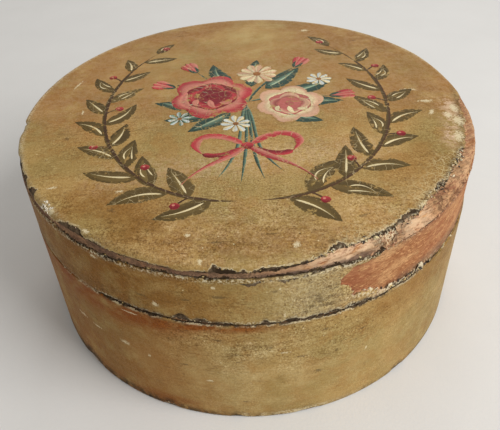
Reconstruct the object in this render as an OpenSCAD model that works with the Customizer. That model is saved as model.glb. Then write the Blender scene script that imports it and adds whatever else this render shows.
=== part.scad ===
// Round wooden powder box with a lift-off lid.
// Each wall is a thin strip of wood, bent round into a hoop and glued where its ends lap.
// A base board closes the box, and a taller hoop inside its wall stands above the rim as the
// collar that the lid slides over. A stepped board closes the lid, and paper lines the inside.
// Sizes are millimetres. The origin is the middle of the box's underside, and +Z is up.

/* [Box] */
// Outside diameter of the box and of its lid
box_d = 130; // [90:1:170]
// Height of the box, from its underside to the seam below the lid
body_h = 38.7; // [25:0.1:60]
// Thickness of the bent strip that makes the box's wall
wall_t = 3; // [2:0.1:4]
// Thickness of the base board
base_t = 4; // [2:0.1:6]

/* [Collar] */
// Thickness of the bent strip that makes the collar
collar_t = 2.2; // [1.4:0.1:3.5]
// Height that the collar stands above the box's rim
collar_rise = 9; // [5:0.1:12]
// Gap all round between the collar and the lid that slides over it
lid_slip = 0.3; // [0.15:0.05:0.6]

/* [Lid] */
// Height of the lid's hoop, from the seam to the lid board
lid_hoop_h = 15.6; // [15:0.1:30]
// Thickness of the lid board at its edge
lid_board_t = 4; // [3:0.1:6]
// Radius of the lid board's rounded upper edge
lid_edge_r = 1.6; // [0.6:0.1:2.4]
// Height that the lid board's middle stands above its edge
lid_crown = 0.6; // [0.3:0.1:3]
// Depth of the step under the lid board, which drops inside the hoop
lid_step = 1.5; // [0.8:0.1:2.2]

/* [Joinery] */
// Width of the small bevel on the edges of the boards and hoops
edge_ease = 0.4; // [0.2:0.05:0.6]
// Thickness of the glue between curved faces and in the laps
glue_t = 0.1; // [0.05:0.01:0.2]
// Angle at which a lap's slanting cut leaves a hoop's inner face
lap_angle = 8; // [5:0.5:14]
// Direction of the box wall's lap, counted from +X
body_lap_at = 118; // [0:1:360]
// Direction of the collar's lap
collar_lap_at = 205; // [0:1:360]
// Direction of the lid hoop's lap
lid_lap_at = 272; // [0:1:360]

/* [Lining] */
// Thickness of the lining paper
paper_t = 0.3; // [0.15:0.05:0.6]

/* [Hidden] */

$fn = 180;
// Length by which a cutting shape runs past what it cuts
over = 1;
// Straight steps in the lid board's rounded edge and in its crown
edge_steps = 8;
crown_steps = 12;

box_r = box_d / 2;
body_in_r = box_r - wall_t;
base_r = body_in_r - glue_t;
collar_r = body_in_r - glue_t;
collar_in_r = collar_r - collar_t;
collar_top_z = body_h + collar_rise;
lid_in_r = collar_r + lid_slip;
lid_joint_z = body_h + lid_hoop_h;
lid_edge_z = lid_joint_z + lid_board_t;
lid_step_r = lid_in_r - glue_t;
lid_step_z = lid_joint_z - lid_step;
// The crown is an arc of a large circle, which starts where the rounded edge ends
crown_half = box_r - lid_edge_r;
crown_r = (pow(crown_half, 2) + pow(lid_crown, 2)) / (2 * lid_crown);
crown_centre_z = lid_edge_z + lid_crown - crown_r;
lining_r = collar_in_r - glue_t;
lining_in_r = lining_r - paper_t;
lining_z = base_t + paper_t;

paint_colour = [0.66, 0.52, 0.28];
wood_colour = [0.72, 0.50, 0.34];
paper_colour = [0.84, 0.78, 0.66];

// Half section of a strip or board with a bevel on each of its corners
module eased_section(r_in, r_out, z_low, z_high) {
    polygon([
        [r_in + edge_ease, z_low], [r_out - edge_ease, z_low],
        [r_out, z_low + edge_ease], [r_out, z_high - edge_ease],
        [r_out - edge_ease, z_high], [r_in + edge_ease, z_high],
        [r_in, z_high - edge_ease], [r_in, z_low + edge_ease]
    ]);
}

// Slanting cut through a hoop's wall, where the two ends of the strip lap
module lap_cut(r_in, r_out, z_low, z_high) {
    cut_x = r_in * cos(lap_angle);
    cut_length = sqrt(pow(r_out, 2) - pow(cut_x, 2)) + over;
    translate([cut_x, 0, z_low - over])
        cube([glue_t, cut_length, z_high - z_low + 2 * over]);
}

// Strip of wood bent round into a hoop, with its lap in the given direction
module hoop(r_in, r_out, z_low, z_high, lap_at) {
    difference() {
        rotate_extrude() eased_section(r_in, r_out, z_low, z_high);
        rotate([0, 0, lap_at]) lap_cut(r_in, r_out, z_low, z_high);
    }
}

// Points along an arc about a centre, from one angle to another
function arc_points(centre, r, from, to, steps) = [
    for (i = [0:steps])
        let (angle = from + (to - from) * i / steps)
            centre + r * [cos(angle), sin(angle)]
];

// Half section of the lid board: step below, bevelled and rounded edge, crown above
module lid_board_section() {
    edge_centre = [crown_half, lid_edge_z - lid_edge_r];
    crown_from = acos(crown_half / crown_r);
    polygon(concat(
        [
            [0, lid_step_z], [lid_step_r, lid_step_z], [lid_step_r, lid_joint_z],
            [box_r - edge_ease, lid_joint_z], [box_r, lid_joint_z + edge_ease]
        ],
        arc_points(edge_centre, lid_edge_r, 0, 90, edge_steps),
        arc_points([0, crown_centre_z], crown_r, crown_from + (90 - crown_from) / crown_steps, 90,
                   crown_steps - 1)
    ));
}

module base_board() {
    color(wood_colour)
        rotate_extrude() polygon([
            [0, 0], [base_r - edge_ease, 0], [base_r, edge_ease], [base_r, base_t], [0, base_t]
        ]);
}

module body_hoop() {
    color(paint_colour) hoop(body_in_r, box_r, 0, body_h, body_lap_at);
}

module collar_hoop() {
    color(wood_colour) hoop(collar_in_r, collar_r, base_t, collar_top_z, collar_lap_at);
}

module base_lining() {
    color(paper_colour) translate([0, 0, base_t]) cylinder(h = paper_t, r = lining_r);
}

module collar_lining() {
    color(paper_colour)
        rotate_extrude() translate([lining_in_r, lining_z])
            square([paper_t, collar_top_z - edge_ease - lining_z]);
}

module lid_hoop() {
    color(paint_colour) hoop(lid_in_r, box_r, body_h, lid_joint_z, lid_lap_at);
}

module lid_board() {
    color(paint_colour) rotate_extrude() lid_board_section();
}

module lid_lining() {
    color(paper_colour) translate([0, 0, lid_step_z - paper_t]) cylinder(h = paper_t, r = lid_step_r);
}

base_board();
body_hoop();
collar_hoop();
base_lining();
collar_lining();
lid_hoop();
lid_board();
lid_lining();
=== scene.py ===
import math

import bmesh
import bpy
import numpy as np
from mathutils import Matrix, Vector


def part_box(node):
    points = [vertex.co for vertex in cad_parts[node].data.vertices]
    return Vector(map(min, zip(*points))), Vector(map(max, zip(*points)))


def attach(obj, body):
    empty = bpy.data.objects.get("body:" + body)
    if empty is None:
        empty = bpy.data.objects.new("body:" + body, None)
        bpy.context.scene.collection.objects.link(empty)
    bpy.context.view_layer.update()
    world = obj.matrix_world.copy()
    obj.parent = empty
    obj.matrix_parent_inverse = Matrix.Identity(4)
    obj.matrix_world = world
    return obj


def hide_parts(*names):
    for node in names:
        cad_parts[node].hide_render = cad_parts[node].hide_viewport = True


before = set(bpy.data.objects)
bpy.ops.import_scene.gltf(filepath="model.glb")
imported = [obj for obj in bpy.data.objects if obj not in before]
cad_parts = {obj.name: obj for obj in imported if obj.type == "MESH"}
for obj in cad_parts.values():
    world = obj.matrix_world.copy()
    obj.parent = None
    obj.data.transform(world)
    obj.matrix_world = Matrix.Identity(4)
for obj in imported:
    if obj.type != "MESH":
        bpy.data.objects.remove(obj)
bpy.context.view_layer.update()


# Camera
# A close, hand-held view from the front, looking down on the lid with the box a little rolled.
# The focal length is written in pixels of the 500 by 430 picture.
mm = 0.001
picture_w_px = 500
focal_px = 612.7
eye = Vector((0.0, -156.6, 150.6)) * mm
aim = Vector((-0.24, 0.0, 17.27)) * mm
camera_roll = -0.0472

lens = bpy.data.cameras.new("camera")
lens.sensor_width = 36.0
lens.lens = focal_px / picture_w_px * lens.sensor_width
lens.clip_start = 1 * mm
camera = bpy.data.objects.new("camera", lens)
level_view = (aim - eye).to_track_quat("-Z", "Y").to_matrix().to_4x4()
camera.matrix_world = Matrix.Translation(eye) @ level_view @ Matrix.Rotation(camera_roll, 4, "Z")
bpy.context.collection.objects.link(camera)
bpy.context.scene.camera = camera
bpy.context.scene.view_settings.view_transform = "Standard"


# Floor and studio light
# A plain pale table, a broad soft lamp to the right of the camera, a fainter one behind the
# box for the sheen on the lid, and an even pale surround.
def wire(node, inputs):
    """Links or sets a shader node's inputs."""
    for key, value in inputs.items():
        if isinstance(value, bpy.types.NodeSocket):
            node.id_data.links.new(value, node.inputs[key])
        else:
            node.inputs[key].default_value = value


def put(kind, inputs, tree=None, **settings):
    """Adds a shader node to a tree, or to the tree of the sockets among its inputs."""
    sockets = (value for value in inputs.values() if isinstance(value, bpy.types.NodeSocket))
    made = (tree or next(sockets).id_data).nodes.new("ShaderNode" + kind)
    for name, value in settings.items():
        setattr(made, name, value)
    wire(made, inputs)
    return made


def number(operation, *values):
    """Result of a sum on values or sockets."""
    return put("Math", dict(enumerate(values)), operation=operation).outputs[0]


def times(value, *others):
    """Product of values or sockets."""
    for other in others:
        value = number("MULTIPLY", value, other)
    return value


def layered(colour, *coats, blend="MIX"):
    """A colour under coats of (colour, amounts), each as dense as its amounts multiplied."""
    for over, *amounts in coats:
        inputs = {0: times(*amounts), 6: colour, 7: over}
        colour = put("Mix", inputs, data_type="RGBA", blend_type=blend).outputs[2]
    return colour


def blotches(place, size, detail=3.0, roughness=0.55):
    """Cloudy values about 0.5, in patches about size millimetres across."""
    inputs = {"Vector": place, "Scale": 1 / (size * mm), "Detail": detail, "Roughness": roughness}
    return put("TexNoise", inputs).outputs[0]


def srgb(red, green, blue):
    """A colour as read off a paint card, from 0 to 255, as the shader's linear values."""
    return tuple(((c / 255 + 0.055) / 1.055) ** 2.4 for c in (red, green, blue)) + (1.0,)


def new_finish(name):
    """A material, and the piece's own coordinates to lay out its pattern on."""
    finish = bpy.data.materials.new(name)
    finish.use_nodes = True
    return finish, put("TexCoord", {}, finish.node_tree).outputs["Object"]


def complete(finish, colour, height, relief, roughness, gloss=0.5):
    """Gives a material its colour, a bump of relief millimetres, its roughness and its gloss."""
    bump = put("Bump", {"Strength": 1.0, "Distance": relief * mm, "Height": height})
    wire(finish.node_tree.nodes["Principled BSDF"], {
        "Base Color": colour, "Normal": bump.outputs[0], "Roughness": roughness, "Specular IOR Level": gloss})


table_pale = srgb(226, 224, 220)
table_shade = srgb(218, 216, 212)
table_size = 6.0
bpy.ops.mesh.primitive_plane_add(size=table_size)
table = bpy.context.object
table.name = "table"
finish, place = new_finish("pale_table")
colour = layered(table_pale, (table_shade, blotches(place, 30)))
complete(finish, colour, blotches(place, 0.8), relief=0.05, roughness=0.7)
table.data.materials.append(finish)

world = bpy.data.worlds.new("surround")
bpy.context.scene.world = world
world.use_nodes = True
wire(world.node_tree.nodes["Background"], {"Color": (1.0, 0.985, 0.96, 1.0), "Strength": 0.42})

for name, at, size, watts in (
    ("window_lamp", (0.46, -0.30, 0.50), 0.40, 4.35),
    ("back_lamp", (0.05, 0.55, 0.42), 0.30, 0.7),
):
    glow = bpy.data.lights.new(name, "AREA")
    glow.size = size
    glow.energy = watts
    lamp = bpy.data.objects.new(name, glow)
    lamp.location = at
    lamp.rotation_euler = (aim - lamp.location).to_track_quat("-Z", "Y").to_euler()
    bpy.context.collection.objects.link(lamp)


# Base board
# A thin round board of soft wood, sawn flat and glued inside the foot of the wall. Its
# underside was never painted and has darkened with age and handling.
def between(value, low, high):
    """Smooth rise from 0 at low to 1 at high."""
    return put("MapRange", {0: value, 1: low, 2: high}, interpolation_type="SMOOTHSTEP").outputs[0]


def drawn_out(place, run):
    """Coordinates squeezed by run, so that a pattern on them is drawn out along the short axes."""
    return put("VectorMath", {0: place, 1: run}, operation="MULTIPLY").outputs[0]


def wood(place, run, pale, dark):
    """Colour and height of bare wood, with its grain along the axes that run makes short."""
    lit = tuple(min(1.0, 1.35 * c) for c in pale)
    pore_dark = tuple(0.5 * c for c in dark)
    along = drawn_out(place, run)
    fibres = blotches(along, 0.5, 5, 0.75)
    pores = between(blotches(along, 0.25, 1), 0.6, 0.68)
    colour = layered(
        pale,
        (dark, between(blotches(along, 5.0, 3), 0.4, 0.6), 0.75),
        (dark, between(blotches(place, 2.2, 4, 0.7), 0.5, 0.64), 0.45),
        (lit, between(fibres, 0.48, 0.38), 0.7),
        (dark, between(fibres, 0.52, 0.64), 0.75),
        (pore_dark, pores, 0.5))
    return colour, number("MULTIPLY_ADD", pores, -0.4, fibres)


base_pale = srgb(164, 124, 84)
base_dark = srgb(112, 78, 50)
base_handled = srgb(74, 54, 40)
finish, place = new_finish("old_base_wood")
colour, grain = wood(place, (0.05, 1.0, 1.0), base_pale, base_dark)
colour = layered(colour, (base_handled, between(blotches(place, 18, 4), 0.5, 0.75), 0.55))
complete(finish, colour, grain, relief=0.15, roughness=0.75)
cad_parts["base_board"].material_slots[0].material = finish


# Box wall
# A thin strip of wood bent round into a hoop and glued where its ends lap, primed with a dark
# ground, painted ochre and varnished. The paint is rubbed through along both edges.
def size_of(node):
    """Lowest and highest corner of a node, in millimetres."""
    low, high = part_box(node)
    return np.array(low) / mm, np.array(high) / mm


steps = 1080
azimuth = np.linspace(-180.0, 180.0, steps, endpoint=False)
turn = np.radians(azimuth)
glue_gap = 0.1
edge_ease = 0.4
box_r, _, seam_z = size_of("body_hoop")[1]
wall_in_r = size_of("collar_hoop")[1][0] + glue_gap
girth = 2 * math.pi * box_r
per_degree = girth / 360


def eased(share):
    """A share from 0 to 1 with a soft start and end."""
    return share * share * (3 - 2 * share)


def ramp(values, low, high):
    """Smooth rise from 0 at low to 1 at high, on numbers."""
    return eased(np.clip((values - low) / (high - low), 0, 1))


def peak(values, middle, half_width):
    """Soft peak of 1 at middle, on numbers."""
    return np.exp(-(((values - middle) / half_width) ** 2))


def from_azimuth(*pairs):
    """Value by azimuth, between pairs of azimuth and value and level beyond the first and last."""
    return np.interp(azimuth, *zip(*pairs))


def ragged(across, cell, seed, octaves=3):
    """Smooth random values from about -1 to 1, by place across the piece and by azimuth."""
    across = np.reshape(np.asarray(across, float), (-1, 1))
    total = np.zeros((len(across), steps))
    for octave in range(octaves):
        spacing = cell / 2**octave
        rows, columns = 97, round(girth / spacing)
        values = np.random.default_rng([seed, octave]).uniform(-1, 1, (rows, columns))
        column, row = azimuth[None, :] / 360 % 1 * columns, across / spacing
        left, below = np.floor(column).astype(int), np.floor(row).astype(int)
        aside, above = eased(column - left), eased(row - below)
        here, beside = left % columns, (left + 1) % columns
        low_side, high_side = (
            values[level % rows, here] * (1 - aside) + values[level % rows, beside] * aside
            for level in (below, below + 1))
        total += (low_side * (1 - above) + high_side * above) / 2**octave
    return total


def worn_back(level, spread, cell, seed, knocks=()):
    """How far paint is worn back from an edge, with knocks at (azimuth, half width, depth)."""
    back = level + spread * ragged(0, cell, seed)[0]
    for at, half_width, depth in knocks:
        near = np.abs((azimuth - at + 180) % 360 - 180) / half_width
        back = np.maximum(back, level + (depth - level) * np.clip(1.4 - near, 0, 1))
    return back


def section(*corners):
    """Points along a half section up to its last corner, by (radius, height, spacing up to it)."""
    radius, height = [], []
    for (r_from, z_from, _), (r_to, z_to, spacing) in zip(corners, corners[1:]):
        count = max(1, round(math.hypot(r_to - r_from, z_to - z_from) / spacing))
        share = np.arange(count) / count
        radius.extend(r_from + (r_to - r_from) * share)
        height.extend(z_from + (z_to - z_from) * share)
    return np.array(radius).reshape(-1, 1), np.array(height).reshape(-1, 1)


def hoop_section(in_r, out_r, low, high, up, down, foot_gap=0.2, top_gaps=(0.2, 0.7, 0.3)):
    """Half section of a hoop with eased edges, spaced by (height, spacing) up its outside and down inside."""
    inner, outer = in_r + edge_ease, out_r - edge_ease
    return section(
        (inner, low, 1), (outer, low, 0.7), (out_r, low + edge_ease, foot_gap),
        *((out_r, z, gap) for z, gap in up),
        (outer, high, top_gaps[0]), (inner, high, top_gaps[1]), (in_r, high - edge_ease, top_gaps[2]),
        *((in_r, z, gap) for z, gap in down),
        (inner, low, 0.3))


def outward(radius, height):
    """Outward direction at each point of a half section that runs out below and in above."""
    along_r = np.roll(radius, -1, 0) - np.roll(radius, 1, 0)
    along_z = np.roll(height, -1, 0) - np.roll(height, 1, 0)
    length = np.hypot(along_r, along_z)
    return along_z / length, -along_r / length


def turned(name, radius, height, ends=False):
    """Piece made of rings of points in millimetres, closed on itself or with two flat ends."""
    rings = len(radius)
    places = np.stack([radius * np.cos(turn), radius * np.sin(turn), height], -1) * mm
    ring, step = np.meshgrid(np.arange(rings - 1 if ends else rings), np.arange(steps), indexing="ij")
    above, beside = (ring + 1) % rings * steps, (step + 1) % steps
    ring = ring * steps
    quads = np.stack([ring + step, ring + beside, above + beside, above + step], -1)
    faces = quads.reshape(-1, 4).tolist()
    if ends:
        faces.append(list(range(steps))[::-1])
        faces.append(list(range((rings - 1) * steps, rings * steps)))
    shape = bpy.data.meshes.new(name)
    shape.from_pydata(places.reshape(-1, 3).tolist(), [], faces)
    shape.shade_smooth()
    piece = bpy.data.objects.new(name, shape)
    bpy.context.collection.objects.link(piece)
    return piece


def store(piece, **fields):
    """Keeps values by point on a turned piece for its material."""
    rows = len(piece.data.vertices) // steps
    for name, values in fields.items():
        kept = piece.data.attributes.new(name, "FLOAT", "POINT")
        kept.data.foreach_set("value", np.broadcast_to(values, (rows, steps)).astype(np.float32).ravel())


# Colours of the coat, what has settled on it, its wear, painted shade and sheen, and the ground and wood
# under it
ochre = srgb(182, 147, 88)
olive_ochre = srgb(161, 135, 79)
orange_ochre = srgb(166, 117, 58)
# The brown varnish and orange stain coats also lay painted shade on the left of the walls
brown_varnish = srgb(136, 91, 34)
# A painted highlight colour, for the sheen of the varnish where light catches it
pale_haze = srgb(198, 172, 117)
orange_stain = srgb(138, 76, 22)
pink_bloom = srgb(206, 172, 136)
# Grime, and also a painted contact shadow at the left foot
grime_brown = srgb(66, 50, 30)
dark_speck = srgb(78, 58, 32)
pale_speck = srgb(226, 208, 164)
# Pale rubs, and also painted highlights along lit edges
pale_rub = srgb(220, 204, 166)
scuff_brown = srgb(84, 66, 42)
pale_crack = srgb(210, 190, 142)
white_crumb = srgb(222, 208, 174)
ground_black = srgb(56, 43, 30)
ground_grey = srgb(116, 97, 76)
wood_pale = srgb(194, 148, 102)
wood_dark = srgb(148, 92, 58)
streak_brown = srgb(150, 96, 70)
# Handling grime, and also painted shade above the lid's joint
hand_brown = srgb(104, 84, 72)
pit_brown = srgb(72, 54, 42)
speck_shift = (0.31, 0.17, 0.23)
wall_mark_depth = 3.0


def spots(place, size, share, reach):
    """Small round specks in cells of size millimetres, in that share of the cells."""
    cell = put("TexVoronoi", {"Vector": place, "Scale": 1 / (size * mm)})
    chosen = put("SeparateColor", {0: cell.outputs["Color"]}).outputs[0]
    radius = times(between(chosen, 1 - share, 1.0), reach)
    return between(number("SUBTRACT", cell.outputs["Distance"], radius), 0.0, -0.06)


def cracks(place, size, width):
    """Fine lines between cells about size millimetres across, as cracked varnish shows."""
    scale = 1 / (size * mm)
    stir = put("TexNoise", {"Vector": place, "Scale": scale, "Detail": 3.0}).outputs[1]
    inputs = {0: stir, 1: (0.7 * size * mm,) * 3, 2: place}
    stirred = put("VectorMath", inputs, operation="MULTIPLY_ADD").outputs[0]
    inputs = {"Vector": stirred, "Scale": scale}
    edge = put("TexVoronoi", inputs, feature="DISTANCE_TO_EDGE").outputs["Distance"]
    return between(edge, width / size, 0.0)


def paint_coat(place):
    """Colour of the ochre paint as it was brushed on, uneven from place to place."""
    return layered(
        ochre,
        (olive_ochre, between(blotches(place, 30, 3), 0.38, 0.62)),
        (orange_ochre, between(blotches(place, 8, 5, 0.62), 0.45, 0.62), 0.4))


def aged(place, brushed, coat, keen):
    """Colour and height of old paint: specks, brush marks and hairline cracks on a coat, as keen as given."""
    drawn = drawn_out(place, brushed)
    strokes = blotches(drawn, 0.9, 5, 0.7)
    patch = blotches(place, 2.6, 5, 0.7)
    fine = blotches(place, 0.5, 4, 0.8)
    rough = between(blotches(place, 9, 3), 0.38, 0.62)
    keen = times(number("MULTIPLY_ADD", rough, 0.5, 0.6), keen)
    hair = number("ABSOLUTE", number("SUBTRACT", blotches(drawn, 5.0, 2), 0.5))
    shares_left = (
        ((0.5, 0.4, 0.28, 1), between(patch, 0.52, 0.68), keen, 0.24),
        ((1.35, 1.48, 1.85, 1), between(patch, 0.47, 0.34), keen, 0.24),
        ((0.3, 0.23, 0.16, 1), between(fine, 0.51, 0.61), keen, 0.44),
        ((1.55, 1.85, 2.6, 1), between(fine, 0.47, 0.38), keen, 0.4),
        ((0.36, 0.3, 0.24, 1), between(strokes, 0.52, 0.62), keen, 0.17),
        ((1.35, 1.45, 1.7, 1), between(strokes, 0.46, 0.36), keen, 0.24),
        ((0.2, 0.18, 0.16, 1), between(hair, 0.012, 0.003), between(patch, 0.42, 0.56), 0.15))
    colour = layered(coat, *shares_left, blend="MULTIPLY")
    aside = put("VectorMath", {0: place, 1: speck_shift}, operation="ADD").outputs[0]
    colour = layered(
        colour,
        (dark_speck, spots(place, 1.2, 0.3, 0.2), keen, 0.5),
        (pale_speck, spots(aside, 1.7, 0.28, 0.14), keen, 0.6))
    return colour, number("MULTIPLY_ADD", strokes, 0.3, times(fine, 0.4))


def field(place, name, kind="Fac"):
    """A value or colour kept on the piece's points."""
    return put("Attribute", {}, place.id_data, attribute_name=name).outputs[kind]


def marks(place, places):
    """Knocks and rubs at (point, half sizes along, through and across, turn), with frayed edges."""
    fray = blotches(place, 0.6, 5, 0.85)
    total = 0.0
    for point, half_sizes, angle in places:
        inputs = {0: place, 1: [c * mm for c in point], 2: (0, 0, math.radians(angle)),
                  3: [c * mm for c in half_sizes]}
        local = put("Mapping", inputs, vector_type="TEXTURE").outputs[0]
        reach = put("VectorMath", {0: local}, operation="LENGTH").outputs["Value"]
        mark = between(number("MULTIPLY_ADD", fray, 5.0, reach), 3.3, 3.1)
        total = number("MAXIMUM", total, mark)
    return total


def on_wall(at, z, half_length, half_height):
    """A mark on the wall, by azimuth and height."""
    angle = math.radians(at)
    point = (box_r * math.cos(angle), box_r * math.sin(angle), z)
    return point, (half_length, wall_mark_depth, half_height), at + 90


def painted_wood(name, brushed, grain_run, rubs, scuffs, bare_tint, grain_turn=0):
    """Paint over a dark ground over wood, worn through where the piece's fields say so."""
    finish, place = new_finish(name)
    coarse = blotches(place, 2.0, 4, 0.65)
    crumb = blotches(place, 0.55, 3, 0.65)
    drift = blotches(place, 7.0, 3, 0.6)
    fray = number("MULTIPLY_ADD", coarse, 2.4, number("MULTIPLY_ADD", crumb, 1.4, -1.9))
    loss = number("ADD", field(place, "loss"), fray)
    ground = number("ADD", field(place, "ground"), fray)
    ground_bare = between(ground, -0.06, 0.06)
    wood_bare = between(loss, -0.06, 0.06)

    # Besides stains and grime, these coats lay painted shade on the left and at the left foot, and a painted
    # sheen where light catches the varnish
    paint = layered(
        paint_coat(place),
        (brown_varnish, field(place, "browned"), between(drift, 0.2, 0.6)),
        (pale_haze, field(place, "pale"), between(drift, 0.75, 0.3)),
        (orange_stain, field(place, "stain"), between(drift, 0.25, 0.55)),
        (pink_bloom, field(place, "bloom"), between(blotches(place, 1.4, 5, 0.75), 0.4, 0.58)),
        (grime_brown, field(place, "grime"), between(coarse, 0.3, 0.6)))
    keen = number("SUBTRACT", 1.0, field(place, "kept_even"))
    paint, paint_height = aged(place, brushed, paint, keen)
    # The rubbed field also lays painted highlights along lit edges
    rubbed = times(field(place, "rubbed"), between(crumb, 0.62, 0.4))
    rubbed = number("MAXIMUM", rubbed, times(marks(place, rubs), 0.85))
    crazed = number("MAXIMUM", cracks(place, 2.8, 0.13), cracks(place, 1.3, 0.08))
    crazed_here = times(field(place, "crackle"), between(drift, 0.4, 0.56))
    fringe = number("MAXIMUM", field(place, "fringe"), between(drift, 0.48, 0.6))
    paint = layered(
        paint,
        (pale_rub, rubbed),
        (scuff_brown, marks(place, scuffs), 0.55),
        (pale_crack, crazed, number("MULTIPLY_ADD", crazed_here, 0.65, 0.04)),
        (pale_rub, between(ground, -0.6, -0.1), fringe, 0.8, between(crumb, 0.36, 0.54)))

    inputs = {0: place, 2: (0, 0, math.radians(grain_turn))}
    grain = put("Mapping", inputs, vector_type="TEXTURE").outputs[0]
    bare, bare_height = wood(grain, grain_run, wood_pale, wood_dark)
    along = drawn_out(grain, grain_run)
    pits = times(field(place, "pitted"), between(coarse, 0.48, 0.4))
    bare = layered(
        bare,
        (bare_tint, between(blotches(along, 1.8, 5, 0.7), 0.34, 0.5), field(place, "tinted_wood")),
        (streak_brown, between(blotches(along, 1.0, 5, 0.75), 0.53, 0.6), field(place, "streaked"), 0.7),
        # Grime on bare wood, with painted shade just above the lid's joint
        (hand_brown, field(place, "wood_grime"), between(coarse, 0.22, 0.52)),
        (pit_brown, pits),
        (ground_black, between(coarse, 0.54, 0.6), between(loss, 2.4, 0.2), field(place, "left_over")))

    soot = layered(ground_black, (ground_grey, between(coarse, 0.42, 0.66), 0.75))
    crumbs = field(place, "crumble")
    colour = layered(
        paint,
        (soot, ground_bare),
        (bare, wood_bare),
        (white_crumb, crumbs, between(crumb, 0.52, 0.57)),
        (ground_black, crumbs, between(crumb, 0.44, 0.39)))
    paint_height = number("MULTIPLY_ADD", ground_bare, -0.45, number("ADD", paint_height, 0.6))
    paint_height = number("MULTIPLY_ADD", crazed, -0.12, paint_height)
    bare_height = number("MULTIPLY_ADD", pits, -1.5, times(bare_height, 0.6))
    lower = number("SUBTRACT", bare_height, paint_height)
    height = number("MULTIPLY_ADD", lower, wood_bare, paint_height)
    height = number("MULTIPLY_ADD", crumbs, crumb, height)
    sheen = number("MULTIPLY_ADD", coarse, 0.3, 0.32)
    sheen = number("MULTIPLY_ADD", number("MAXIMUM", ground_bare, wood_bare), 0.3, sheen)
    complete(finish, colour, height, relief=0.28, roughness=sheen, gloss=0.06)
    return finish


foot_knocks = [
    (-139, 2.4, 2.0), (-136, 1.6, 1.2), (-112, 2.0, 0.9), (-95, 1.5, 1.0), (-78, 3.0, 0.8),
    (-52, 2.0, 1.1), (20, 4.0, 2.2), (96, 3.0, 1.6), (151, 5.0, 1.8)]
rim_knocks = [
    (-116, 1.2, 0.5), (-112.5, 1.0, 0.8), (-73, 2.5, 0.5), (-67, 2.0, 0.6), (-61, 2.0, 0.5),
    (44, 3.0, 1.4), (133, 4.0, 1.2)]
wall_lap_at = 137.2

# Wear in millimetres past the edge of the paint: ground bares the dark coat, loss the wood
radius, height = hoop_section(
    wall_in_r, box_r, 0, seam_z, up=((4, 0.4), (seam_z - 4, 1.3), (seam_z - edge_ease, 0.4)),
    down=((edge_ease, 9),))
out_r, out_z = outward(radius, height)
inside = radius < box_r - edge_ease - 0.01
painted = ramp(radius, box_r - 1.2, box_r - edge_ease)
foot_rub = worn_back(-0.05, 0.3, 7, 11, foot_knocks) - height
rim_level = from_azimuth(
    (-180, 0.0), (-160, -0.5), (-130, -0.5), (-122, 0.25), (-110, 0.2), (-104, 0.05), (-52, 0.05),
    (-44, -0.4), (-10, -0.4), (20, 0.05))
rim_rub = worn_back(rim_level, 0.25, 5, 12, rim_knocks) - (seam_z - height)
lap_line = 0.12 + 0.15 * ragged(height, 5, 15) - np.abs(azimuth - wall_lap_at) * per_degree
ground = np.clip(np.maximum.reduce([foot_rub, rim_rub, lap_line]), -3, 3)
ground = np.where(inside, 3, ground)
loss = np.clip(ground - 1.3 + 0.5 * ragged(height, 3, 13), -3, 3)
wave = 0.1 + 0.1 * ragged(height, 40, 14, 2)
depth = painted * (wave + 0.16 * ramp(ground, -0.3, 0.3) + 0.18 * ramp(loss, -0.3, 0.3))
body_wall = turned("body_wall", radius - depth * out_r, height - depth * out_z)

# Stains, rubs and grime by height and azimuth; painted shade to the left and a painted sheen in front
under_seam = ramp(height, 29, 37.5) * from_azimuth(
    (-180, 0.2), (-145, 0.3), (-134, 0.9), (-112, 1), (-104, 0.45), (-94, 0.15), (-60, 0), (60, 0),
    (130, 0.4), (180, 0.2))
tide_mark = ramp(height, 6.5, 4.5) * from_azimuth(
    (-180, 0.3), (-130, 0.1), (-120, 0.4), (-112, 0.7), (-104, 0.5), (-95, 0.1), (-60, 0), (60, 0.2),
    (180, 0.3))
rust_line = ramp(height, 35.0, 37.4) * from_azimuth(
    (-112, 0), (-106, 0.8), (-92, 0.75), (-86, 0.3), (-82, 0))
# Painted shade: the left of the wall darker and browner, as if less lit; it feeds the browned and stain coats
to_the_left = from_azimuth(
    (-180, 0.7), (-140, 0.74), (-120, 0.54), (-108, 0.32), (-96, 0.05), (-60, 0.0), (-10, 0.15),
    (90, 0.4), (180, 0.7))
# Painted sheen: a paler patch on the front and lower right, where light catches the varnish
sun_patch = peak(azimuth, -89, 14) * (0.4 + 0.6 * peak(height, 18, 12))
upper_right = ramp(height, 24, 34) * ramp(azimuth, -72, -62) * ramp(azimuth, -10, -30)
lower_right = ramp(azimuth, -78, -66) * ramp(height, 30, 18)
broken_up = ramp(ragged(0, 3, 16)[0], -0.3, 0.5)
# A pale line under the seam: worn paint and a painted highlight on the wall's top edge
seam_line = broken_up * ramp(height, seam_z - 0.9, seam_z - 0.5) * from_azimuth(
    (-140, 0), (-134, 0.8), (-119, 0.8), (-115, 0.3), (-104, 0.7), (-96, 0.6), (-84, 0.3), (-76, 0.7),
    (-56, 0.5), (-44, 0))
# A painted highlight along the lit foot edge, with a few pale specks
foot_line = ramp(height, 2.5, 1.3) * from_azimuth(
    (-94.5, 0), (-93.5, 0.9), (-92.5, 0), (-90, 0), (-89, 0.9), (-88, 0.1), (-84, 0.9), (-76, 0.6),
    (-70, 0.25), (-58, 0))
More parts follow.
